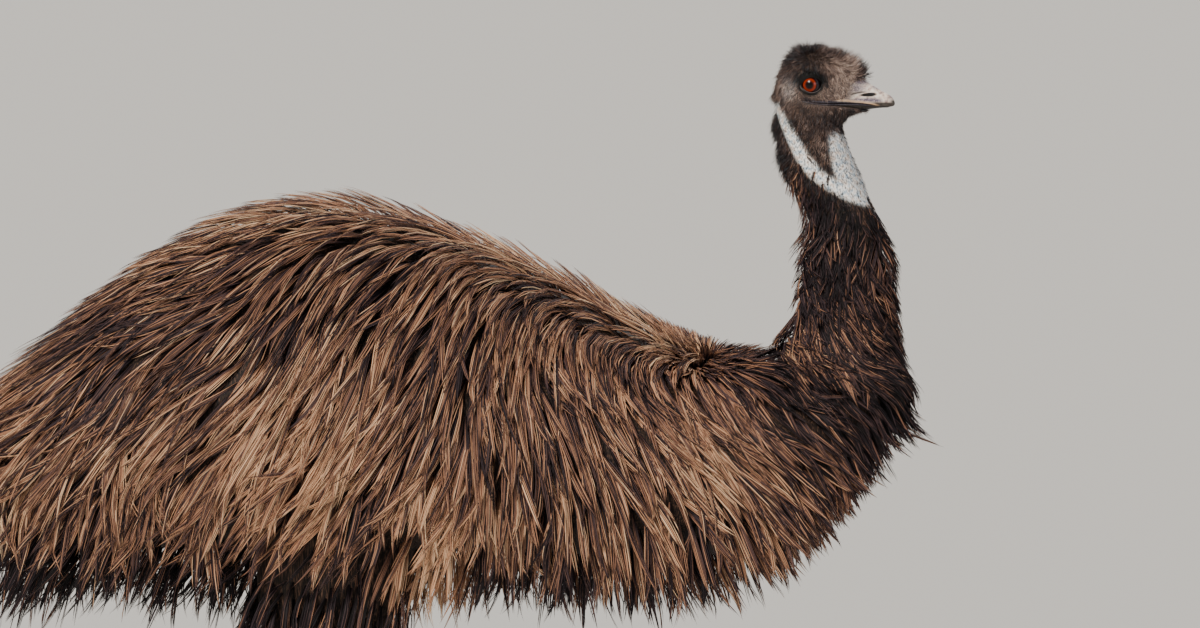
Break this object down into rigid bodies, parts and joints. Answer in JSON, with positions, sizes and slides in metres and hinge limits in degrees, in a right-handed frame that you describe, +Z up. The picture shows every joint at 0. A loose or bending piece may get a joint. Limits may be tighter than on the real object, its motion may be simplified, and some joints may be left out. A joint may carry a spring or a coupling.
{
  "type": "emu",
  "caption": "Standing emu, life size: shaggy brown haystack of plumage, pale blue bare neck, small dark head with a flat bill, scaled legs and toes.",
  "frame": {"origin": "on the floor, under the middle of the bird's box", "axes": "+X the way the bird faces, +Y its left side, +Z up"},
  "size_m": [1.296, 0.5258, 1.3033],
  "materials": {
    "plumage": "long loose feathers, mid to dark brown with tan edges",
    "skin": "bare blue-grey skin under short hair-like feathers",
    "horn": "satin grey horn",
    "eye": "wet, orange-red iris",
    "scales": "grey-brown horny scales",
    "claw": "dark horn"
  },
  "bodies": {
    "root": {"breast": "plumage", "trunk": "plumage", "rump": "plumage", "tail": "plumage", "neck_lower": "plumage", "neck_upper": "plumage", "thigh_left": "plumage", "thigh_right": "plumage", "head": "skin", "bill_upper": "horn", "bill_lower": "horn", "eye_left": "eye", "eye_right": "eye", "shank_left": "scales", "tarsus_left": "scales", "foot_left": "scales", "claw_inner_left": "claw", "claw_middle_left": "claw", "claw_outer_left": "claw", "shank_right": "scales", "tarsus_right": "scales", "foot_right": "scales", "claw_inner_right": "claw", "claw_middle_right": "claw", "claw_outer_right": "claw"}
  },
  "joints": []
}
